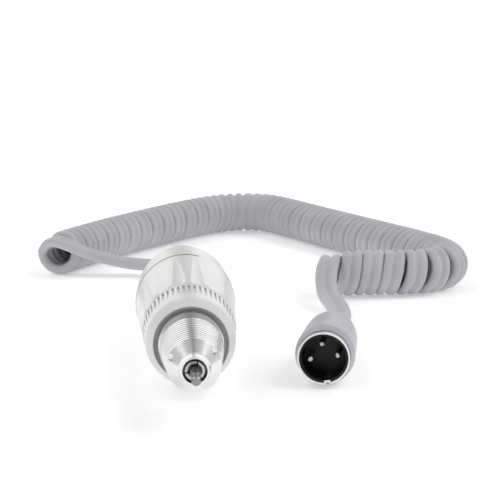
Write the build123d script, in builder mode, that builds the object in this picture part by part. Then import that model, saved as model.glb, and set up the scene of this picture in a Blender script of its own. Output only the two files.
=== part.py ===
from build123d import *

import os
from math import cos, pi, radians, sin, tan

# Straight micromotor handpiece with its curly cord and round three-pin plug, lying on a surface.
# Millimetres, +Z up. The nose points along -Y and is tipped up a little, because the handpiece
# rests on its tapered rear shell. The origin is on the surface, under the middle of the handpiece.
# Along the handpiece, a station is the distance behind the front face of the nose cap.

# ---- driving dimensions ----
TILT = 2.0  # nose-up tilt, and the half angle of the grip's rear taper
GRIP_R = 13.35  # largest radius of the handpiece
TAPER_START = 82.0
ROUNDING_START = 98.0  # behind here the rear shell draws in faster
REAR_SLOPE = 0.155  # radius lost per millimetre behind the rounding
MANDREL_TIP = -9.7
BOOT_END = 151.0

BORE_R = 2.85  # hole in the nose cap
CAP_REAR = 6.0
SLEEVE_FRONT_R = 6.22
SLEEVE_REAR_R = 7.65
GROOVE_COUNT = 10
RING_FRONT = 28.2
RING_REAR = 45.5
RIB_COUNT = 52
SCALLOP_COUNT = 16
SHELL_SPLIT = 79.2  # rear edge of the front shell
CLIP_WIDTH = 0.8
CLIP_GAP_FROM, CLIP_GAP_TO = 106.0, 144.0  # angles about the axis, 90 is the top
REAR_SHELL_END = 126.0
CAP_SPIGOT_R = 7.35

SHANK_R = 1.175  # standard 2.35 mm straight handpiece shank
FIT = 0.03  # radial running clearance
CHUCK_TRAVEL = 0.8
TWIST_RANGE = 60.0

CORD_R = 3.3  # half the width of the flat cord
COIL_R = 7.05  # outer radius of the curly stretch
PLUG_SHELL_R = 6.6
PLUG_BORE_R = 6.2
PLUG_PIN_R = 0.725
PLUG_TAIL_R = 0.5  # the pins are thinner inside the insulator
PLUG_SHELL_REACH = 2.3  # how far the metal shell stands out of the plug body
PLUG_PIN_CIRCLE_R = 3.5
PLUG_HEADING = 10.6  # towards +X of +Y, seen from above
PLUG_PITCH = 1.5
PLUG_ROLL = 9.4
PLUG_FRONT = Vector(33.3, -30.2, 7.85)  # centre of the metal shell's front edge
PLUG_LENGTH = 40.0

# ---- the handpiece's axis and planes ----
MIDDLE = (MANDREL_TIP + BOOT_END) / 2
APEX = TAPER_START + GRIP_R / tan(radians(TILT))  # where the axis would meet the surface
BACK = Vector(0, cos(radians(TILT)), -sin(radians(TILT)))
UP = Vector(0, sin(radians(TILT)), cos(radians(TILT)))
SIDE = Vector(1, 0, 0)


def on_axis(place):
    """The point of the handpiece's axis at a station."""
    return Vector(0, (place - MIDDLE) * cos(radians(TILT)), (APEX - place) * sin(radians(TILT)))


def station(place):
    """A plane across the handpiece at a station, facing back, with its y direction up."""
    return Plane(origin=on_axis(place), x_dir=-SIDE, z_dir=BACK)


def outward(angle):
    """The unit vector away from the axis at an angle about it; 90 degrees is the top."""
    return -SIDE * cos(radians(angle)) + UP * sin(radians(angle))


def radial(place, angle):
    """A plane on the axis at a station that faces outward at an angle about it."""
    return Plane(origin=on_axis(place), x_dir=BACK, z_dir=outward(angle))


PROFILE = Plane(origin=on_axis(0), x_dir=BACK, z_dir=SIDE)
SPIN = Axis(origin=on_axis(0), direction=BACK)


def turn(*outline, plane=PROFILE, about=SPIN, mode=Mode.ADD):
    """Revolve a closed outline of (station, radius) points about the axis."""
    with BuildSketch(plane, mode=Mode.PRIVATE) as section:
        with BuildLine():
            Polyline(*outline, close=True)
        make_face()
    revolve(section.sketch, axis=about, mode=mode)


def tube(front, rear, inner_r, outer_r, plane=PROFILE, about=SPIN, mode=Mode.ADD):
    """Revolve a rectangle, which gives a plain ring or sleeve."""
    outline = ((front, inner_r), (rear, inner_r), (rear, outer_r), (front, outer_r))
    turn(*outline, plane=plane, about=about, mode=mode)


def rear_radius(place):
    """Outer radius of the rear shell at a station, which tapers first and then draws in faster."""
    if place < ROUNDING_START:
        return GRIP_R - (place - TAPER_START) * tan(radians(TILT))
    return rear_radius(ROUNDING_START - FIT) - (place - ROUNDING_START) * REAR_SLOPE


os.makedirs("parts", exist_ok=True)
pieces = {}

# ---- nose ----
with BuildPart() as nose_cap:
    turn(
        (0, BORE_R),
        (0, 3.35),
        (2.1, 3.78),
        (2.1, 3.88),
        (5.5, 6.08),
        (5.7, SLEEVE_FRONT_R),
        (CAP_REAR, SLEEVE_FRONT_R),
        (CAP_REAR, 5.2),
        (10.5, 5.2),
        (10.5, 4.2),
        (4.6, 4.2),
        (3.4, 3.8),
        (3.2, BORE_R),
    )
    for flat in range(3):
        with BuildSketch(radial(4.2, 22.5 + 120 * flat).offset(5.25)):
            Rectangle(2.8, 1.5)
        extrude(amount=2, mode=Mode.SUBTRACT)
pieces["nose_cap"] = nose_cap

with BuildPart() as grooved_sleeve:
    turn(
        (CAP_REAR, 5.2),
        (CAP_REAR, SLEEVE_FRONT_R + 0.05),
        (22.6, SLEEVE_REAR_R),
        (23.0, 6.9),
        (27.4, 6.9),
        (27.7, 7.9),
        (47.7, 7.9),
        (47.7, 9.85),
        (51.0, 9.85),
        (51.0, 7.25),
        (28.4, 7.25),
        (28.4, 5.5),
        (12.9, 5.5),
        (12.9, 4.9),
        (10.5, 4.9),
        (10.5, 5.2),
    )
    groove_pitch = (22.0 - 6.9) / GROOVE_COUNT
    for groove in range(GROOVE_COUNT):
        place = 7.3 + groove * groove_pitch
        radius = SLEEVE_FRONT_R + (SLEEVE_REAR_R - SLEEVE_FRONT_R) * (place - CAP_REAR) / 16.6
        turn(
            (place - 0.42, radius + 0.3),
            (place, radius - 0.38),
            (place + 0.42, radius + 0.3),
            mode=Mode.SUBTRACT,
        )
    for side in (0, 180):
        with BuildSketch(radial(39.6, side)):
            SlotCenterToCenter(CHUCK_TRAVEL, 2 * (0.9 + 2 * FIT))
        extrude(amount=9, mode=Mode.SUBTRACT)
pieces["grooved_sleeve"] = grooved_sleeve

with BuildPart() as bearing_carrier:
    turn(
        (28.6, 5.0),
        (28.6, 7.2),
        (32.0, 7.2),
        (32.0, 6.3),
        (46.0, 6.3),
        (46.0, 5.0),
        (42.0, 5.0),
        (42.0, 5.5),
        (33.0, 5.5),
        (33.0, 5.0),
    )
pieces["bearing_carrier"] = bearing_carrier


def add_bearing(name, front, bore_r, outer_r, width, ball_count):
    """A deep-groove bearing as three pieces: outer ring, inner ring and balls in their groove."""
    pitch_r = (bore_r + outer_r) / 2
    ball_r = 0.27 * (outer_r - bore_r)
    land = 0.5 * ball_r
    middle = front + width / 2
    rings = {"outer": (pitch_r + land, outer_r), "inner": (bore_r, pitch_r - land)}
    for ring_name, (inner, outer) in rings.items():
        with BuildPart() as ring:
            tube(front, front + width, inner, outer)
            with BuildSketch(PROFILE, mode=Mode.PRIVATE) as race:
                with Locations((middle, pitch_r)):
                    Circle(ball_r + FIT)
            revolve(race.sketch, axis=SPIN, mode=Mode.SUBTRACT)
        pieces[f"{name}_{ring_name}_ring"] = ring
    with BuildPart() as balls:
        with Locations(station(middle)):
            with PolarLocations(pitch_r, ball_count):
                Sphere(ball_r)
    pieces[f"{name}_balls"] = balls


add_bearing("front_bearing", 13.0, 2.5, 5.5, 4.0, 9)
add_bearing("middle_bearing", 34.0, 2.5, 5.5, 4.0, 9)
add_bearing("motor_front_bearing", 72.0, 1.5, 4.0, 3.0, 7)
add_bearing("motor_rear_bearing", 113.0, 1.5, 4.0, 3.0, 7)

# ---- spindle and chuck ----
with BuildPart() as spindle:
    turn(
        (3.9, 2.11),
        (3.9, 3.4),
        (12.0, 3.4),
        (12.0, 2.9),
        (13.0, 2.9),
        (13.0, 2.5),
        (38.0, 2.5),
        (38.0, 3.9),
        (60.0, 3.9),
        (60.0, 3.2),
        (42.0, 3.2),
        (42.0, 1.95),
        (5.0, 1.95),
    )
    with BuildSketch(station(58)):
        Rectangle(9, 2.2)
    extrude(amount=2.5, mode=Mode.SUBTRACT)
    with BuildSketch(radial(54.6, 90)):
        SlotCenterToCenter(CHUCK_TRAVEL + 0.1, 2 * (0.8 + FIT))
    extrude(amount=5, both=True, mode=Mode.SUBTRACT)
pieces["spindle"] = spindle

with BuildPart() as collet:
    turn(
        (0.4, 1.7),
        (0.4, 2.24),
        (2.6, 2.24),
        (5.2, 1.9),
        (57.0, 1.9),
        (57.0, 0.9),
        (44.0, 0.9),
        (44.0, SHANK_R + FIT),
        (0.9, SHANK_R + FIT),
    )
    for slit in range(3):
        with BuildSketch(station(0)):
            with PolarLocations(1.7, 1, start_angle=-12 + 120 * slit):
                Rectangle(2.4, 0.32)
        extrude(amount=12, mode=Mode.SUBTRACT)
    with BuildSketch(radial(55.0, 90)):
        Circle(0.8)
    extrude(amount=5, both=True, mode=Mode.SUBTRACT)
pieces["collet"] = collet

with BuildPart() as draw_nut:
    tube(53.6, 57.0, 1.9, 3.15)
    with BuildSketch(radial(55.0, 90)):
        Circle(0.8)
    extrude(amount=5, both=True, mode=Mode.SUBTRACT)
pieces["draw_nut"] = draw_nut

with BuildPart() as cross_pin:
    with BuildSketch(radial(55.0, 90)):
        Circle(0.8)
    extrude(amount=5.1, both=True)
pieces["cross_pin"] = cross_pin

with BuildPart() as release_collar:
    tube(53.6, 56.4, 3.9 + FIT, 5.3)
    with BuildSketch(radial(55.0, 90)):
        Circle(0.8)
    extrude(amount=5.1, both=True, mode=Mode.SUBTRACT)
pieces["release_collar"] = release_collar

with BuildPart() as chuck_spring:
    with BuildLine() as spring_wire:
        Helix(1.72, 10.3, 2.55, center=on_axis(42.65), direction=BACK)
    with BuildSketch(Plane(origin=spring_wire.line @ 0, z_dir=spring_wire.line % 0)):
        Circle(0.45)
    sweep(is_frenet=True)
pieces["chuck_spring"] = chuck_spring

with BuildPart() as mandrel:
    turn(
        (MANDREL_TIP, 0),
        (MANDREL_TIP, 0.82),
        (MANDREL_TIP + 0.25, 1.05),
        (-7.6, 1.05),
        (-7.3, 0.78),
        (-6.2, 0.78),
        (-5.6, SHANK_R),
        (42.0, SHANK_R),
        (43.0, 0.7),
        (43.0, 0),
    )
pieces["mandrel"] = mandrel

# ---- twist-lock ring and release ----
with BuildPart() as twist_ring:
    turn(
        (31.0, 7.9 + FIT),
        (31.0, 9.0),
        (RING_FRONT, 9.1),
        (RING_FRONT, 9.35),
        (30.4, 10.45),
        (31.2, 10.8),
        (32.4, 11.02),
        (35.4, 11.2),
        (35.8, 11.15),
        (44.6, 11.5),
        (45.0, 11.7),
        (RING_REAR, 11.7),
        (RING_REAR, 9.45),
        (33.0, 9.45),
        (33.0, 7.9 + FIT),
    )
    for rib in range(RIB_COUNT):
        angle = 360 * rib / RIB_COUNT
        with BuildSketch(radial(40.2, angle).offset(11.0)):
            SlotOverall(8.2, 0.65)
        extrude(amount=1, mode=Mode.SUBTRACT)
pieces["twist_ring"] = twist_ring

with BuildPart() as cam_ring:
    tube(33.4, RING_REAR, 7.9 + FIT, 9.45)
    steps = 15
    for side in (0, 180):
        for step in range(steps + 1):
            turned = TWIST_RANGE * step / steps
            place = 40.0 - CHUCK_TRAVEL * step / steps
            with BuildSketch(radial(place, side - turned)):
                Circle(0.9 + 0.12)
            extrude(amount=10, mode=Mode.SUBTRACT)
pieces["cam_ring"] = cam_ring

with BuildPart() as release_sleeve:
    turn(
        (34.0, 6.3 + FIT),
        (34.0, 7.2),
        (58.0, 7.2),
        (58.0, 4.1),
        (56.5, 4.1),
        (56.5, 6.3 + FIT),
    )
    for side in (0, 180):
        with BuildSketch(radial(40.0, side)):
            Circle(0.9)
        extrude(amount=9, mode=Mode.SUBTRACT)
pieces["release_sleeve"] = release_sleeve

with BuildPart() as cam_pins:
    for side in (0, 180):
        with BuildSketch(radial(40.0, side).offset(6.4)):
            Circle(0.9)
        extrude(amount=2.8)
pieces["cam_pins"] = cam_pins

# ---- shells ----
with BuildPart() as front_shell:
    turn(
        (46.0, 7.95),
        (46.0, 11.5),
        (46.6, 11.85),
        (60.0, 12.45),
        (SHELL_SPLIT, GRIP_R - 0.03),
        (SHELL_SPLIT, 10.6),
        (64.0, 10.6),
        (64.0, 9.9),
        (47.65, 9.9),
        (47.65, 7.95),
    )
    scallop_r = 10.0
    fall = 0.0552
    for scallop in range(SCALLOP_COUNT):
        direction = outward(360 * (scallop + 0.5) / SCALLOP_COUNT)
        low_point = on_axis(45.5) + direction * (11.5 + scallop_r)
        along = BACK + direction * fall
        with BuildSketch(Plane(origin=low_point, x_dir=direction.cross(BACK), z_dir=along)):
            Circle(scallop_r)
        extrude(amount=33, mode=Mode.SUBTRACT)
    with BuildSketch(station(SHELL_SPLIT)):
        with BuildLine():
            gap = CLIP_GAP_TO - CLIP_GAP_FROM
            inner_arc = CenterArc((0, 0), 10.6, CLIP_GAP_FROM, gap)
            outer_arc = CenterArc((0, 0), GRIP_R - 0.03, CLIP_GAP_FROM, gap)
            Line(inner_arc @ 0, outer_arc @ 0)
            Line(inner_arc @ 1, outer_arc @ 1)
        make_face()
    extrude(amount=CLIP_WIDTH)
pieces["front_shell"] = front_shell

with BuildPart() as snap_ring:
    with BuildSketch(station(SHELL_SPLIT)):
        with BuildLine():
            covered = 360 - (CLIP_GAP_TO - CLIP_GAP_FROM)
            inner_arc = CenterArc((0, 0), 10.6, CLIP_GAP_TO, covered)
            outer_arc = CenterArc((0, 0), GRIP_R + 0.03, CLIP_GAP_TO, covered)
            Line(inner_arc @ 0, outer_arc @ 0)
            Line(inner_arc @ 1, outer_arc @ 1)
        make_face()
    extrude(amount=CLIP_WIDTH)
pieces["snap_ring"] = snap_ring

with BuildPart() as rear_shell:
    shell_front = SHELL_SPLIT + CLIP_WIDTH
    turn(
        (69.0, 9.4),
        (69.0, 10.55),
        (shell_front, 10.55),
        (shell_front, GRIP_R),
        (TAPER_START, GRIP_R),
        (ROUNDING_START - 1.5, rear_radius(ROUNDING_START - 1.5)),
        (ROUNDING_START + 1.0, rear_radius(ROUNDING_START + 1.0) - 0.05),
        (REAR_SHELL_END, rear_radius(REAR_SHELL_END)),
        (REAR_SHELL_END, CAP_SPIGOT_R + FIT),
        (118.0, CAP_SPIGOT_R + FIT),
        (118.0, 8.1),
        (112.0, 8.1),
        (112.0, 9.4),
    )
    tube(73.4, 74.6, 9.8, 11, mode=Mode.SUBTRACT)
pieces["rear_shell"] = rear_shell

with BuildPart() as seal_ring:
    with BuildSketch(PROFILE):
        with Locations((74.0, 10.2)):
            Circle(0.4)
    revolve(axis=SPIN)
pieces["seal_ring"] = seal_ring

with BuildPart() as rear_cap:
    edge_r = rear_radius(REAR_SHELL_END)
    with BuildSketch(PROFILE):
        with BuildLine():
            rim = Polyline((REAR_SHELL_END, CAP_SPIGOT_R), (REAR_SHELL_END, edge_r), (128.2, edge_r - 0.4))
            crown = ThreePointArc(rim @ 1, (131.2, 7.2), (132.4, 5.6))
            Polyline(
                crown @ 1,
                (132.4, 4.6),
                (129.8, 4.6),
                (129.8, 5.7),
                (127.6, 6.3),
                (122.6, 6.3),
                (122.6, CAP_SPIGOT_R),
                rim @ 0,
            )
        make_face()
    revolve(axis=SPIN)
pieces["rear_cap"] = rear_cap

# ---- motor ----
with BuildPart() as motor_yoke:
    tube(70.0, 112.0, 8.1, 9.4)
pieces["motor_yoke"] = motor_yoke

with BuildPart() as front_end_plate:
    tube(70.5, 75.0, 2.6, 8.1)
    tube(72.0, 75.0, 2.6, 4.0, mode=Mode.SUBTRACT)
pieces["front_end_plate"] = front_end_plate

with BuildPart() as magnets:
    with BuildSketch(station(76.5)):
        with BuildLine():
            inner_arc = CenterArc((0, 0), 6.0, -65, 130)
            outer_arc = CenterArc((0, 0), 8.1, -65, 130)
            Line(inner_arc @ 0, outer_arc @ 0)
            Line(inner_arc @ 1, outer_arc @ 1)
        make_face()
        mirror(about=Plane.YZ)
    extrude(amount=24)
pieces["magnets"] = magnets

with BuildPart() as motor_shaft:
    turn((61.8, 0), (61.8, 1.5), (115.8, 1.5), (116.2, 1.1), (116.2, 0))
pieces["motor_shaft"] = motor_shaft

with BuildPart() as drive_coupling:
    with BuildSketch(station(60.6)):
        Circle(3.7)
    extrude(amount=6.4)
    with BuildSketch(station(58.3)):
        Rectangle(7.2, 2.0)
    extrude(amount=2.4)
    with BuildSketch(station(61.8)):
        Circle(1.5)
    extrude(amount=6, mode=Mode.SUBTRACT)
pieces["drive_coupling"] = drive_coupling

TOOTH_COUNT = 7
with BuildPart() as armature_core:
    with BuildSketch(station(79.0)):
        Circle(5.6)
        Circle(1.5, mode=Mode.SUBTRACT)
        with PolarLocations(3.95, TOOTH_COUNT):
            Circle(1.0, mode=Mode.SUBTRACT)
        with PolarLocations(5.2, TOOTH_COUNT):
            Rectangle(1.4, 0.8, mode=Mode.SUBTRACT)
    extrude(amount=19)
pieces["armature_core"] = armature_core

with BuildPart() as windings:
    with BuildSketch(station(79.0)):
        with PolarLocations(3.95, TOOTH_COUNT):
            Circle(0.97)
    extrude(amount=19)
    for end in (76.9, 98.0):
        with BuildSketch(station(end)):
            Circle(4.95)
            Circle(1.9, mode=Mode.SUBTRACT)
        extrude(amount=2.1)
pieces["windings"] = windings

with BuildPart() as commutator:
    with BuildSketch(station(100.4)):
        Circle(3.2)
        Circle(1.5, mode=Mode.SUBTRACT)
        with PolarLocations(3.2, TOOTH_COUNT):
            Rectangle(0.9, 0.25, mode=Mode.SUBTRACT)
    extrude(amount=8.2)
    tube(100.4, 101.2, 3.1, 4.1)
pieces["commutator"] = commutator

with BuildPart() as brush_holder:
    tube(102.0, 112.9, 3.6, 8.1)
    tube(109.4, 112.9, 2.6, 3.7)
    for side in (0, 180):
        with BuildSketch(radial(105.6, side)):
            Rectangle(4.0, 2.6)
        extrude(amount=9, mode=Mode.SUBTRACT)
pieces["brush_holder"] = brush_holder

with BuildPart() as brushes:
    for side in (0, 180):
        with BuildSketch(radial(105.6, side).offset(3.28)):
            Rectangle(3.9, 2.5)
        extrude(amount=2.4)
pieces["brushes"] = brushes

with BuildPart() as brush_springs:
    for side in (0, 180):
        direction = outward(side)
        start = on_axis(105.6) + direction * 5.95
        with BuildLine() as spring_wire:
            Helix(0.7, 1.8, 0.85, center=start, direction=direction)
        with BuildSketch(Plane(origin=spring_wire.line @ 0, z_dir=spring_wire.line % 0)):
            Circle(0.16)
        sweep(is_frenet=True)
pieces["brush_springs"] = brush_springs

WIRE_R = 0.6
WIRE_SPREAD = 5.2
with BuildPart() as rear_end_plate:
    tube(112.9, 116.8, 4.0, 8.1)
    tube(116.0, 116.8, 2.2, 4.1)
    with BuildSketch(station(112.9)):
        with Locations((-WIRE_SPREAD, 0), (WIRE_SPREAD, 0)):
            Circle(WIRE_R)
    extrude(amount=4, mode=Mode.SUBTRACT)
pieces["rear_end_plate"] = rear_end_plate

# ---- wiring and cord exit ----
with BuildPart() as terminal_board:
    with BuildSketch(station(118.4)):
        Circle(7.2)
        with Locations((-WIRE_SPREAD, 0), (WIRE_SPREAD, 0)):
            Circle(WIRE_R, mode=Mode.SUBTRACT)
    extrude(amount=1.2)
pieces["terminal_board"] = terminal_board

with BuildPart() as lead_wires:
    for side in (-1, 1):
        stops = ((112.9, WIRE_SPREAD), (122.6, WIRE_SPREAD), (126.2, 1.6), (129.4, 1.6))
        corners = [on_axis(place) + SIDE * (side * spread) for place, spread in stops]
        with BuildLine() as lead:
            FilletPolyline(*corners, radius=1.8)
        with BuildSketch(Plane(origin=lead.line @ 0, z_dir=lead.line % 0)):
            Circle(WIRE_R)
        sweep()
pieces["lead_wires"] = lead_wires

with BuildPart() as cord_clamp:
    tube(126.4, 127.6, 2.9, 6.2)
pieces["cord_clamp"] = cord_clamp

SCREW_STATION = 124.2
with BuildPart() as cap_screws:
    for side in (0, 180):
        with BuildSketch(radial(SCREW_STATION, side).offset(6.3)):
            Circle(0.8)
        extrude(amount=2.25)
        with BuildSketch(radial(SCREW_STATION, side).offset(8.1)):
            Rectangle(1.8, 0.35)
        extrude(amount=1, mode=Mode.SUBTRACT)
pieces["cap_screws"] = cap_screws

for shell in (rear_shell, rear_cap):
    with shell:
        for side in (0, 180):
            with BuildSketch(radial(SCREW_STATION, side)):
                Circle(0.8)
            extrude(amount=11, mode=Mode.SUBTRACT)

with BuildPart() as cord_boot:
    turn(
        (127.8, 0),
        (127.8, 5.5),
        (129.8, 5.5),
        (129.8, 4.55),
        (132.6, 4.55),
        (133.4, 4.5),
        (BOOT_END, CORD_R + 0.1),
        (BOOT_END, 0),
    )
    for ring in range(6):
        place = 135.0 + 2.5 * ring
        tube(place, place + 1.0, 3.2 - 0.05 * ring, 6, mode=Mode.SUBTRACT)
    with BuildSketch(station(127.8)):
        with Locations((-1.6, 0), (1.6, 0)):
            Circle(WIRE_R)
    extrude(amount=1.6, mode=Mode.SUBTRACT)
pieces["cord_boot"] = cord_boot

# ---- plug ----
plug_turn = radians(PLUG_HEADING)
plug_drop = radians(PLUG_PITCH)
PLUG_BACK = Vector(sin(plug_turn) * cos(plug_drop), cos(plug_turn) * cos(plug_drop), -sin(plug_drop))
PLUG_SIDE = Vector(cos(plug_turn), -sin(plug_turn), 0)
PLUG_UP = PLUG_SIDE.cross(PLUG_BACK)
PLUG_PROFILE = Plane(origin=PLUG_FRONT, x_dir=PLUG_BACK, z_dir=PLUG_SIDE)
PLUG_AXIS = Axis(origin=PLUG_FRONT, direction=PLUG_BACK)


def plug_station(depth):
    """A plane across the plug behind its front edge, rolled so that y points at the middle pin."""
    middle_pin = PLUG_UP * cos(radians(PLUG_ROLL)) - PLUG_SIDE * sin(radians(PLUG_ROLL))
    x_dir = middle_pin.cross(PLUG_BACK)
    return Plane(origin=PLUG_FRONT + PLUG_BACK * depth, x_dir=x_dir, z_dir=PLUG_BACK)


def plug_tube(front, rear, inner_r, outer_r, mode=Mode.ADD):
    """A plain ring about the plug's axis."""
    tube(front, rear, inner_r, outer_r, plane=PLUG_PROFILE, about=PLUG_AXIS, mode=mode)


INSULATOR_FACE = 8.6
PLUG_SEAT_R = PLUG_SHELL_R - 0.16
with BuildPart() as plug_shell:
    plug_tube(0, PLUG_SHELL_REACH, PLUG_BORE_R, PLUG_SHELL_R)
    plug_tube(PLUG_SHELL_REACH, 11.0, PLUG_BORE_R, PLUG_SEAT_R)
    with BuildSketch(plug_station(0)):
        with Locations((0, -PLUG_BORE_R + 0.25)):
            Rectangle(1.6, 0.7)
    extrude(amount=INSULATOR_FACE - 0.5)
    with BuildSketch(plug_station(0)):
        with Locations((0, -PLUG_SHELL_R)):
            Circle(0.55)
    extrude(amount=INSULATOR_FACE - 1.2, mode=Mode.SUBTRACT)
pieces["plug_shell"] = plug_shell

with BuildPart() as plug_liner:
    plug_tube(0.3, INSULATOR_FACE, 5.6, PLUG_BORE_R)
    with BuildSketch(plug_station(0)):
        with Locations((0, -PLUG_BORE_R)):
            Rectangle(1.6, 1.6)
    extrude(amount=INSULATOR_FACE, mode=Mode.SUBTRACT)
pieces["plug_liner"] = plug_liner

with BuildPart() as plug_insulator:
    plug_tube(INSULATOR_FACE, 13.0, 0, PLUG_BORE_R)
    with BuildSketch(plug_station(0)):
        with PolarLocations(PLUG_PIN_CIRCLE_R, 3, start_angle=0, angular_range=180, endpoint=True):
            Circle(PLUG_TAIL_R)
    extrude(amount=16, mode=Mode.SUBTRACT)
pieces["plug_insulator"] = plug_insulator

with BuildPart() as plug_pins:
    pin_front = 0.9
    reaches = {PLUG_PIN_R: INSULATOR_FACE - 0.1 - pin_front, PLUG_TAIL_R: 16.0}
    for pin_radius, reach in reaches.items():
        with BuildSketch(plug_station(pin_front)):
            with PolarLocations(PLUG_PIN_CIRCLE_R, 3, start_angle=0, angular_range=180, endpoint=True):
                Circle(pin_radius)
        extrude(amount=reach)
    chamfer(plug_pins.edges().group_by(Axis(PLUG_FRONT, PLUG_BACK))[0], length=0.3)
pieces["plug_pins"] = plug_pins

with BuildPart() as plug_body:
    turn(
        (2.4, PLUG_SEAT_R),
        (2.4, 6.75),
        (4.6, 7.58),
        (5.4, 7.62),
        (18.0, 7.2),
        (24.0, 6.9),
        (28.0, 6.3),
        (30.0, 5.3),
        (30.0, 3.2),
        (27.0, 4.2),
        (17.0, 5.2),
        (13.0, 5.2),
        (13.0, PLUG_BORE_R),
        (11.0, PLUG_BORE_R),
        (11.0, PLUG_SEAT_R),
        plane=PLUG_PROFILE,
        about=PLUG_AXIS,
    )
pieces["plug_body"] = plug_body

with BuildPart() as plug_clamp:
    plug_tube(18.4, 24.0, 3.4, 4.4)
pieces["plug_clamp"] = plug_clamp

with BuildPart() as plug_boot:
    turn(
        (24.6, 0),
        (24.6, 3.9),
        (27.0, 3.9),
        (28.8, 3.15),
        (30.1, 3.15),
        (30.1, 4.7),
        (32.0, 4.5),
        (PLUG_LENGTH, CORD_R + 0.1),
        (PLUG_LENGTH, 0),
        plane=PLUG_PROFILE,
        about=PLUG_AXIS,
    )
    for ring in range(2):
        plug_tube(33.6 + 2.6 * ring, 34.6 + 2.6 * ring, 3.0, 6, mode=Mode.SUBTRACT)
pieces["plug_boot"] = plug_boot

with BuildPart() as plug_wires:
    for angle in (0, 90, 180):
        stops = ((16.9, PLUG_PIN_CIRCLE_R), (17.7, PLUG_PIN_CIRCLE_R), (19.6, 1.7), (24.6, 1.7))
        direction = (cos(radians(angle)), sin(radians(angle)), 0)
        corners = [plug_station(depth).from_local_coords(Vector(direction) * reach) for depth, reach in stops]
        with BuildLine() as wire:
            FilletPolyline(*corners, radius=0.6)
        with BuildSketch(Plane(origin=wire.line @ 0, z_dir=wire.line % 0)):
            Circle(0.5)
        sweep()
pieces["plug_wires"] = plug_wires

# ---- cord ----


def bend_radii(corners):
    """The largest radius that each corner's shorter run allows."""
    radii = []
    for before, here, after in zip(corners, corners[1:], corners[2:]):
        arriving = Vector(*here) - Vector(*before)
        leaving = Vector(*after) - Vector(*here)
        half_turn = radians(arriving.get_angle(leaving) / 2)
        radii.append(0.45 * min(arriving.length, leaving.length) / tan(half_turn))
    return radii


def cord_tube(name, corners, radius):
    """A round tube along straight runs joined by tangent arcs."""
    radii = bend_radii(corners)
    with BuildPart() as cord:
        with BuildLine() as route:
            FilletPolyline(*corners, radius=radii)
        with BuildSketch(Plane(origin=route.line @ 0, z_dir=route.line % 0)):
            Circle(radius)
        sweep()
    length = sum(edge.length for edge in route.edges())
    print(name, "radii", [round(value, 1) for value in radii], "length", round(length, 1))
    print(name, "volume over section times length", cord.part.volume / (pi * radius**2 * length))
    return cord


def as_point(vector):
    """A vector as a plain corner of a route."""
    return (vector.X, vector.Y, vector.Z)


boot_mouth = on_axis(BOOT_END)
handpiece_lead = [
    as_point(boot_mouth),
    as_point(boot_mouth + BACK * 7.5),
    (-0.9, 95.6, 7.8),
    (-3.6, 102.8, 4.9),
    (-9.2, 107.6, 3.5),
    (-17.0, 109.2, 4.0),
    (-24.6, 108.6, 6.0),
    (-31.4, 107.2, 8.6),
    (-37.4, 106.6, 11.0),
]
coil_route = [
    (-39.8, 109.5, COIL_R),
    (-32.6, 122.0, COIL_R),
    (-22.5, 137.4, COIL_R),
    (-8.9, 155.4, COIL_R),
    (0.6, 167.2, COIL_R),
    (8.4, 176.2, COIL_R),
    (15.4, 182.4, COIL_R),
    (22.4, 186.0, COIL_R),
    (29.4, 186.4, COIL_R),
    (35.4, 183.0, COIL_R),
    (40.4, 176.2, COIL_R),
    (45.2, 167.6, COIL_R),
    (50.6, 157.6, COIL_R),
    (58.2, 144.2, COIL_R),
    (68.6, 126.2, COIL_R),
    (78.4, 109.2, COIL_R),
    (84.6, 96.6, COIL_R),
    (85.6, 86.0, COIL_R),
    (79.8, 77.6, COIL_R),
    (70.0, 74.6, COIL_R),
    (58.4, 75.0, COIL_R),
    (46.4, 74.4, COIL_R),
]
plug_mouth = PLUG_FRONT + PLUG_BACK * PLUG_LENGTH
plug_lead = [
    as_point(plug_mouth),
    as_point(plug_mouth + PLUG_BACK * 7.2),
    (43.8, 25.3, 5.0),
    (45.1, 35.2, 3.6),
    (45.4, 44.6, 3.4),
    (44.7, 52.4, 3.5),
    (43.9, 58.6, 4.6),
    (43.6, 63.0, 7.8),
    (44.2, 66.6, 11.0),
    (46.2, 71.6, 12.4),
]

cord_handpiece_lead = cord_tube("cord_handpiece_lead", handpiece_lead, CORD_R)
pieces["cord_handpiece_lead"] = cord_handpiece_lead
cord_coil = cord_tube("cord_coil", coil_route, COIL_R)
pieces["cord_coil"] = cord_coil
cord_plug_lead = cord_tube("cord_plug_lead", plug_lead, CORD_R)
pieces["cord_plug_lead"] = cord_plug_lead

for name, piece in pieces.items():
    piece.part.label = name
    export_step(piece.part, f"parts/{name}.step")
print(len(pieces), "pieces")
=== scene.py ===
import math

import bpy
import numpy as np
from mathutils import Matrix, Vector


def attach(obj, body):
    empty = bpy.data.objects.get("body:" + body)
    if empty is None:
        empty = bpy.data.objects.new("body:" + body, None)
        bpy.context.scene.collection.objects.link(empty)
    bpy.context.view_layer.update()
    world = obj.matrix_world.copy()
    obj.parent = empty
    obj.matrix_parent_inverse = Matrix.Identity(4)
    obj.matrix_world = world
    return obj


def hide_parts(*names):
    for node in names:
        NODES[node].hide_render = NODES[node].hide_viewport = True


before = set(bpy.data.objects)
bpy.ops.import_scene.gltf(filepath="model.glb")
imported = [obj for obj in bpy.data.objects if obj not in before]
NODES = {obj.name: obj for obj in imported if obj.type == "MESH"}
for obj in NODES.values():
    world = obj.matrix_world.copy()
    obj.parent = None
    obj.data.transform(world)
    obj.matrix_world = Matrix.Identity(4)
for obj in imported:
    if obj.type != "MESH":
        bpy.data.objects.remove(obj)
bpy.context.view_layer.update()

MM = 0.001

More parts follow.
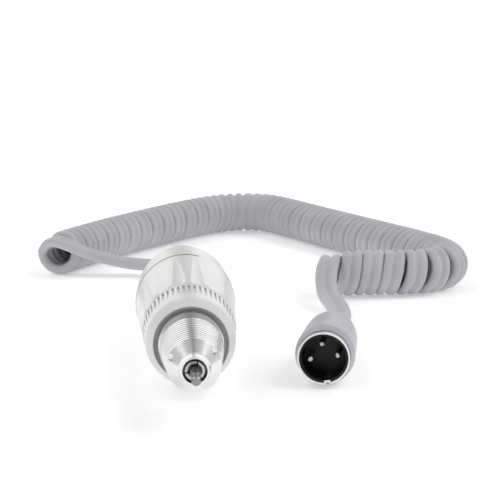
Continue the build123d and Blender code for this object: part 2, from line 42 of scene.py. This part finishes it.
# ---- the handpiece's axis ----
TILT = math.radians(2.0)
GRIP_R, TAPER_START = 13.35, 82.0
MIDDLE = 70.65
APEX = TAPER_START + GRIP_R / math.tan(TILT)
BACK = Vector((0, math.cos(TILT), -math.sin(TILT)))


def on_axis(place):
    """The point of the handpiece's axis at a station, in metres."""
    across = (place - MIDDLE) * math.cos(TILT)
    return Vector((0, across, (APEX - place) * math.sin(TILT))) * MM


# ---- camera ----
SENSOR = 36
FOCAL_LENGTHS_WIDE = 1700 / 500  # the camera's focal length over its picture's width
CAMERA_PLACE = (-11.3 * MM, -438.0 * MM, 117.1 * MM)
CAMERA_PITCH, CAMERA_HEADING = 90 - 11.27, -3.68


def add_camera():
    data = bpy.data.cameras.new("camera")
    data.sensor_width = SENSOR
    data.lens = SENSOR * FOCAL_LENGTHS_WIDE
    data.clip_start, data.clip_end = 0.01, 20
    camera = bpy.data.objects.new("camera", data)
    camera.location = CAMERA_PLACE
    camera.rotation_euler = (math.radians(CAMERA_PITCH), 0, math.radians(CAMERA_HEADING))
    bpy.context.scene.collection.objects.link(camera)
    bpy.context.scene.camera = camera


add_camera()


# ---- materials ----
class Look:
    """A node material, with short helpers for its texture nodes."""

    def __init__(self, name, roughness=0.5, metallic=0.0, **sockets):
        self.material = bpy.data.materials.new(name)
        self.material.use_nodes = True
        self.tree = self.material.node_tree
        self.shader = self.tree.nodes["Principled BSDF"]
        self.shader.inputs["Roughness"].default_value = roughness
        self.shader.inputs["Metallic"].default_value = metallic
        for socket, value in sockets.items():
            self.shader.inputs[socket.replace("_", " ")].default_value = value

    def node(self, kind, **settings):
        made = self.tree.nodes.new(kind)
        for key, value in settings.items():
            setattr(made, key, value)
        return made

    def link(self, source, target):
        self.tree.links.new(source, target)

    def place(self, scale=(1, 1, 1)):
        """Object coordinates, stretched by the given scale."""
        coords = self.node("ShaderNodeTexCoord")
        mapping = self.node("ShaderNodeMapping")
        mapping.inputs["Scale"].default_value = scale
        self.link(coords.outputs["Object"], mapping.inputs["Vector"])
        return mapping.outputs["Vector"]

    def noise(self, scale, detail=4.0, vector=None):
        made = self.node("ShaderNodeTexNoise")
        made.inputs["Scale"].default_value = scale
        made.inputs["Detail"].default_value = detail
        self.link(vector or self.place(), made.inputs["Vector"])
        return made.outputs["Fac"]

    def ramp(self, value, low, high, start=0.3, end=0.7):
        made = self.node("ShaderNodeValToRGB")
        first, last = made.color_ramp.elements
        first.position, first.color = start, (*low, 1)
        last.position, last.color = end, (*high, 1)
        self.link(value, made.inputs["Fac"])
        return made.outputs["Color"]

    def spread(self, value, low, high):
        """A value between low and high, following a noise."""
        made = self.node("ShaderNodeMapRange")
        made.inputs["To Min"].default_value = low
        made.inputs["To Max"].default_value = high
        self.link(value, made.inputs["Value"])
        return made.outputs["Result"]

    def colour(self, source):
        self.link(source, self.shader.inputs["Base Color"])
        return self

    def rough(self, source):
        self.link(source, self.shader.inputs["Roughness"])
        return self

    def bump(self, height, strength=0.2, distance=0.0001):
        made = self.node("ShaderNodeBump")
        made.inputs["Strength"].default_value = strength
        made.inputs["Distance"].default_value = distance
        self.link(height, made.inputs["Height"])
        self.link(made.outputs["Normal"], self.shader.inputs["Normal"])
        return self


def speckled(name, low, high, roughness, metallic=0.0, grain=900, bump=0.08, streak=(1, 1, 1), **sockets):
    """A surface whose colour, roughness and relief follow a fine grain and a broad mottle."""
    look = Look(name, metallic=metallic, **sockets)
    broad = look.noise(90, 3)
    fine = look.noise(grain, 5, look.place(streak))
    look.colour(look.ramp(broad, low, high))
    look.rough(look.spread(fine, roughness * 0.82, roughness * 1.18))
    look.bump(fine, bump, 0.00005)
    return look.material


TURNED = (1, 14, 1)  # fine rings round the handpiece
LOOKS = {
    "satin": speckled("satin_aluminium", (0.70, 0.70, 0.71), (0.80, 0.80, 0.81),
                      0.24, 1.0, 500, 0.05, TURNED),
    "ivory": speckled("ivory_plastic", (0.67, 0.665, 0.655), (0.72, 0.715, 0.705),
                      0.30, 0.0, 1400, 0.03,
                      Specular_IOR_Level=0.45, Coat_Weight=0.15, Coat_Roughness=0.2),
    "bronze": speckled("bronze_clip", (0.16, 0.09, 0.05), (0.26, 0.16, 0.10), 0.42, 0.4, 1500, 0.1),
    "steel": speckled("hardened_steel", (0.40, 0.40, 0.41), (0.52, 0.52, 0.53),
                      0.28, 1.0, 900, 0.06, TURNED),
    "dark_steel": speckled("blued_steel", (0.10, 0.10, 0.11), (0.20, 0.20, 0.21),
                           0.34, 1.0, 900, 0.06, TURNED),
    "mandrel": speckled("mandrel_steel", (0.22, 0.22, 0.23), (0.32, 0.32, 0.33),
                        0.22, 1.0, 900, 0.05, TURNED),
    "polished": speckled("polished_steel", (0.62, 0.62, 0.63), (0.72, 0.72, 0.73),
                         0.12, 1.0, 600, 0.02),
    "brass": speckled("turned_brass", (0.62, 0.45, 0.18), (0.74, 0.56, 0.27),
                      0.3, 1.0, 700, 0.05, TURNED),
    "yoke": speckled("zinc_plate", (0.42, 0.43, 0.45), (0.54, 0.55, 0.56), 0.4, 1.0, 300, 0.1),
    "lamination": speckled("stamped_steel", (0.24, 0.24, 0.25), (0.36, 0.36, 0.37),
                           0.45, 1.0, 1200, 0.15, (1, 30, 1)),
    "ferrite": speckled("fired_ferrite", (0.035, 0.035, 0.037), (0.07, 0.07, 0.072),
                        0.75, 0.0, 1800, 0.3),
    "copper": speckled("enamelled_copper", (0.48, 0.17, 0.07), (0.64, 0.27, 0.13),
                       0.32, 1.0, 2500, 0.3, (1, 8, 1)),
    "carbon": speckled("pressed_carbon", (0.03, 0.03, 0.03), (0.06, 0.06, 0.06), 0.6, 0.0, 2000, 0.2),
    "resin": speckled("moulded_resin", (0.10, 0.07, 0.05), (0.16, 0.12, 0.09), 0.5, 0.0, 1500, 0.1),
    "board": speckled("circuit_board", (0.03, 0.14, 0.07), (0.05, 0.20, 0.10), 0.4, 0.0, 1600, 0.1),
    "sheath": speckled("wire_sheath", (0.35, 0.04, 0.03), (0.48, 0.07, 0.05), 0.45, 0.0, 1500, 0.1),
    "seal": speckled("seal_rubber", (0.02, 0.02, 0.02), (0.04, 0.04, 0.04), 0.6, 0.0, 1600, 0.15),
    "plug": speckled("plug_plastic", (0.40, 0.39, 0.44), (0.46, 0.45, 0.50), 0.42, 0.0, 1800, 0.06,
                     Specular_IOR_Level=0.4),
    "jacket": speckled("cord_jacket", (0.45, 0.44, 0.475), (0.52, 0.51, 0.545), 0.46, 0.0, 2200, 0.08,
                       Specular_IOR_Level=0.4),
    "nickel": speckled("nickel_plate", (0.66, 0.65, 0.64), (0.76, 0.75, 0.74), 0.16, 1.0, 900, 0.03),
    # black plastic for the plug_insulator, and painted shade on the plug_liner: the liner makes the metal
    # shell's inside as dark as the shade deep in the plug's mouth
    "insulator_and_shade": speckled("black_insulator", (0.006, 0.006, 0.006), (0.012, 0.012, 0.012),
                          0.35, 0.0, 1500, 0.06,
                          Specular_IOR_Level=0.25),
}

BEARINGS = ("front_bearing", "middle_bearing", "motor_front_bearing", "motor_rear_bearing")
WORN_BY = {
    "satin": ["nose_cap", "grooved_sleeve", "bearing_carrier", "front_end_plate", "rear_end_plate",
              "release_sleeve"],
    "ivory": ["twist_ring", "front_shell", "rear_shell", "rear_cap"],
    "bronze": ["snap_ring"],
    "dark_steel": ["spindle"],
    "steel": ["collet", "draw_nut", "cross_pin", "release_collar", "cam_pins", "motor_shaft",
              "drive_coupling", "chuck_spring", "brush_springs", "cord_clamp", "cap_screws", "plug_clamp",
              "plug_pins"],
    "mandrel": ["mandrel"],
    "polished": [f"{b}_{k}" for b in BEARINGS for k in ("outer_ring", "inner_ring", "balls")],
    "brass": ["cam_ring"],
    "yoke": ["motor_yoke"],
    "lamination": ["armature_core"],
    "ferrite": ["magnets"],
    "copper": ["windings", "commutator"],
    "carbon": ["brushes"],
    "resin": ["brush_holder"],
    "board": ["terminal_board"],
    "sheath": ["lead_wires", "plug_wires"],
    "seal": ["seal_ring"],
    "plug": ["plug_body"],
    "jacket": ["cord_boot", "plug_boot"],
    "nickel": ["plug_shell"],
    # the plug_liner's black is painted shade over the inside of the metal shell; the plug_insulator's
    # black is its own colour
    "insulator_and_shade": ["plug_insulator", "plug_liner"],
}
for look, names in WORN_BY.items():
    for name in names:
        slots = NODES[name].data.materials
        slots.clear()
        slots.append(LOOKS[look])


# ---- the cord ----
CORD_WIDE, CORD_THICK = 6.6, 3.3
CORD_W, CORD_T = CORD_WIDE * MM, CORD_THICK * MM
COIL_Z = 7.05  # height of the coil's middle, which is also its outside radius
COIL_R = (COIL_Z - CORD_THICK / 2) * MM  # radius of the cord's centreline in the coil
FIRST_TURN, LAST_TURN = 51, 117.6
TURNS = 40 + (LAST_TURN - FIRST_TURN) / 360
START_ANGLE = math.radians(FIRST_TURN)
STEPS = 24  # rings for each turn
JOIN_REACH, JOIN_PASSES = 8, 14  # rings each side of a join, and how often they are rounded
FACE_PASSES = 40
FACE_OUT, FACE_IN = 14, 12  # rings over which the flat side turns, outside and inside the coil
BOOT_STATION, BOOT_LEAD = 151, 7.5
PLUG_LENGTH, PLUG_LEAD_OUT = 40, 7.2

PLUG_HEADING, PLUG_PITCH = math.radians(10.6), math.radians(1.5)
PLUG_FRONT = Vector((33.3, -30.2, 7.85)) * MM
PLUG_BACK = Vector((
    math.sin(PLUG_HEADING) * math.cos(PLUG_PITCH),
    math.cos(PLUG_HEADING) * math.cos(PLUG_PITCH),
    -math.sin(PLUG_PITCH),
))

BOOT_MOUTH = on_axis(BOOT_STATION)
PLUG_MOUTH = PLUG_FRONT + PLUG_BACK * PLUG_LENGTH * MM


def metres(points):
    return [Vector(point) * MM for point in points]


HANDPIECE_LEAD = [BOOT_MOUTH, BOOT_MOUTH + BACK * BOOT_LEAD * MM] + metres([
    (-0.9, 95.6, 7.8), (-3.6, 102.8, 4.9), (-9.2, 107.6, 3.5), (-17.0, 109.2, 4.0), (-24.6, 108.6, 6.0),
    (-31.4, 107.2, 8.6), (-37.4, 106.6, 11.0),
])
COIL_ROUTE = metres([
    (x, y, COIL_Z) for x, y in (
        (-39.8, 109.5), (-32.6, 122.0), (-22.5, 137.4), (-8.9, 155.4), (0.6, 167.2), (8.4, 176.2),
        (15.4, 182.4), (22.4, 186.0), (29.4, 186.4), (35.4, 183.0), (40.4, 176.2), (45.2, 167.6),
        (50.6, 157.6), (58.2, 144.2), (68.6, 126.2), (78.4, 109.2), (84.6, 96.6), (85.6, 86.0),
        (79.8, 77.6), (70.0, 74.6), (58.4, 75.0), (46.4, 74.4),
    )
])
PLUG_LEAD = [PLUG_MOUTH, PLUG_MOUTH + PLUG_BACK * PLUG_LEAD_OUT * MM] + metres([
    (43.8, 25.3, 5.0), (45.1, 35.2, 3.6), (45.4, 44.6, 3.4), (44.7, 52.4, 3.5), (43.9, 58.6, 4.6),
    (43.6, 63.0, 7.8), (44.2, 66.6, 11.0), (46.2, 71.6, 12.4),
])


def spline_points(controls):
    """Points along the smooth NURBS line that the control points pull."""
    data = bpy.data.curves.new("route", "CURVE")
    data.dimensions = "3D"
    data.resolution_u = 24
    spline = data.splines.new("NURBS")
    spline.points.add(len(controls) - 1)
    for point, control in zip(spline.points, controls):
        point.co = (*control, 1)
    spline.order_u = 3
    spline.use_endpoint_u = True
    curve = bpy.data.objects.new("route", data)
    bpy.context.scene.collection.objects.link(curve)
    graph = bpy.context.evaluated_depsgraph_get()
    mesh = bpy.data.meshes.new_from_object(curve.evaluated_get(graph))
    points = np.array([vertex.co[:] for vertex in mesh.vertices])
    bpy.data.meshes.remove(mesh)
    bpy.data.objects.remove(curve)
    return points


def evenly(points, count):
    """The same line with points at even spacing."""
    steps = np.linalg.norm(np.diff(points, axis=0), axis=1)
    keep = np.concatenate([[True], steps > 1e-7])
    points = points[keep]
    along = np.concatenate([[0], np.cumsum(np.linalg.norm(np.diff(points, axis=0), axis=1))])
    wanted = np.linspace(0, along[-1], count)
    return np.stack([np.interp(wanted, along, points[:, axis]) for axis in range(3)], axis=1)


def length_of(points):
    return float(np.linalg.norm(np.diff(points, axis=0), axis=1).sum())


def unit(rows):
    return rows / np.linalg.norm(rows, axis=-1, keepdims=True)


def coil_line():
    """The cord's centreline round the coil, and the direction away from the coil's middle."""
    middle = evenly(spline_points(COIL_ROUTE), int(TURNS * STEPS) + 1)
    forward = unit(np.gradient(middle, axis=0))
    up = np.array([0.0, 0.0, 1.0])
    side = unit(np.cross(forward, up))
    angle = START_ANGLE + np.linspace(0, 2 * math.pi * TURNS, len(middle))[:, None]
    away = np.cos(angle) * side + np.sin(angle) * up
    return middle + COIL_R * away, away


def smoothed(rows, passes, spans):
    """Rounds the rows inside the given spans, leaving the rest alone."""
    rows = rows.copy()
    for _ in range(passes):
        for first, last in spans:
            inner = rows[first + 1:last]
            beside = rows[first:last - 1] + rows[first + 2:last + 1]
            rows[first + 1:last] = 0.5 * inner + 0.25 * beside
    return rows


def cord_line():
    """The whole cord from the handpiece to the plug: its centreline and its flat side's direction."""
    coil, away = coil_line()
    spacing = length_of(coil) / (len(coil) - 1)
    front = spline_points(HANDPIECE_LEAD)
    front = evenly(front, int(length_of(front) / spacing))[:-2]
    rear = spline_points(PLUG_LEAD)[::-1]
    rear = evenly(rear, int(length_of(rear) / spacing))[2:]
    line = np.concatenate([front, coil, rear])
    flat_front = np.tile(np.array([0.0, 0.0, 1.0]), (len(front), 1))
    flat_rear = np.tile(np.array([0.0, -0.6, 0.8]), (len(rear), 1))
    faces = np.concatenate([flat_front, away, flat_rear])
    first, last = len(front), len(front) + len(coil)
    joins = [(first - JOIN_REACH, first + JOIN_REACH), (last - JOIN_REACH, last + JOIN_REACH)]
    line = smoothed(line, JOIN_PASSES, joins)
    turns = [(first - FACE_OUT, first + FACE_IN), (last - FACE_IN, last + FACE_OUT)]
    faces = smoothed(faces, FACE_PASSES, turns)
    return line, faces


def section():
    """Corners of the two-lobed section, across the cord and through its thickness."""
    corners = []
    lobe = CORD_T / 2
    for side in (1, -1):
        for step in range(11):
            angle = math.radians(side * (-150 + 30 * step))
            across = side * (CORD_W / 2 - lobe + lobe * math.cos(angle))
            through = lobe * math.sin(angle)
            corners.append((across, through))
    return corners


def mesh_piece(name, points, faces, material):
    mesh = bpy.data.meshes.new(name)
    mesh.from_pydata(points, [], faces)
    mesh.update()
    for polygon in mesh.polygons:
        polygon.use_smooth = True
    mesh.materials.append(material)
    piece = bpy.data.objects.new(name, mesh)
    bpy.context.scene.collection.objects.link(piece)
    return piece


def sweep_section(name, line, faces, material):
    """A closed tube of the cord's section along a line."""
    forward = unit(np.gradient(line, axis=0))
    faces = unit(faces - (faces * forward).sum(1, keepdims=True) * forward)
    across = np.cross(forward, faces)
    corners = section()
    count = len(corners)
    points = []
    for centre, normal, wide in zip(line, faces, across):
        points += [tuple(centre + wide * a + normal * t) for a, t in corners]
    quads = []
    for ring in range(len(line) - 1):
        low = ring * count
        for corner in range(count):
            after = (corner + 1) % count
            quads.append((low + corner, low + after, low + count + after, low + count + corner))
    quads.append(tuple(range(count))[::-1])
    last = (len(line) - 1) * count
    quads.append(tuple(range(last, last + count)))
    return mesh_piece(name, points, quads, material)


cord_points, cord_faces = cord_line()
cord = sweep_section("curly_cord", cord_points, cord_faces, LOOKS["jacket"])
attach(cord, "handpiece")
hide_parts("cord_handpiece_lead", "cord_coil", "cord_plug_lead")


# ---- floor and light ----
def add_floor():
    corners = [(-3, -2, 0), (3, -2, 0), (3, 4, 0), (-3, 4, 0)]
    look = Look("floor_paper", 0.85)
    look.colour(look.ramp(look.noise(3, 2), (0.92, 0.92, 0.92), (0.94, 0.94, 0.94)))
    look.bump(look.noise(600, 3), 0.02, 0.0001)
    look.shader.inputs["Emission Color"].default_value = (1, 1, 1, 1)
    look.shader.inputs["Emission Strength"].default_value = 0.28
    floor = mesh_piece("floor", corners, [(0, 1, 2, 3)], look.material)
    floor.location.z = -0.0002


def add_sun(name, aim, strength, softness):
    data = bpy.data.lights.new(name, "SUN")
    data.energy = strength
    data.angle = math.radians(softness)
    lamp = bpy.data.objects.new(name, data)
    lamp.rotation_euler = Vector(aim).to_track_quat("-Z", "Y").to_euler()
    bpy.context.scene.collection.objects.link(lamp)


DIM, BRIGHT = 0.3, 0.95  # brightness of the room in its dark band and beside it
NEAR, FAR = 0.5, 1.3  # how much of that reaches the near and the far half of the room


def add_studio():
    """A room that is brightest far behind the object, left and right of a narrow dark band."""
    world = bpy.data.worlds.new("studio")
    world.use_nodes = True
    tree = world.node_tree
    background = tree.nodes["Background"]
    background.inputs["Color"].default_value = (1, 1, 1, 1)
    coords = tree.nodes.new("ShaderNodeTexCoord")
    parts = tree.nodes.new("ShaderNodeSeparateXYZ")
    tree.links.new(coords.outputs["Generated"], parts.inputs["Vector"])
    aside = tree.nodes.new("ShaderNodeMath")
    aside.operation = "ABSOLUTE"
    tree.links.new(parts.outputs["X"], aside.inputs[0])
    total = tree.nodes.new("ShaderNodeMath")
    total.operation = "MULTIPLY"
    ranges = (
        (aside.outputs[0], 0.04, 0.12, DIM, BRIGHT),
        (parts.outputs["Y"], 0.1, 0.8, NEAR, FAR),
    )
    for slot, (source, start, end, low, high) in enumerate(ranges):
        fade = tree.nodes.new("ShaderNodeMapRange")
        fade.interpolation_type = "SMOOTHSTEP"
        fade.inputs["From Min"].default_value = start
        fade.inputs["From Max"].default_value = end
        fade.inputs["To Min"].default_value = low
        fade.inputs["To Max"].default_value = high
        tree.links.new(source, fade.inputs["Value"])
        tree.links.new(fade.outputs["Result"], total.inputs[slot])
    tree.links.new(total.outputs[0], background.inputs["Strength"])
    bpy.context.scene.world = world


add_floor()
add_studio()
add_sun("left_lamp", (0.65, 0.15, -0.75), 0.6, 40)
add_sun("right_lamp", (-0.65, 0.15, -0.75), 0.9, 40)
bpy.context.scene.view_settings.view_transform = "Standard"
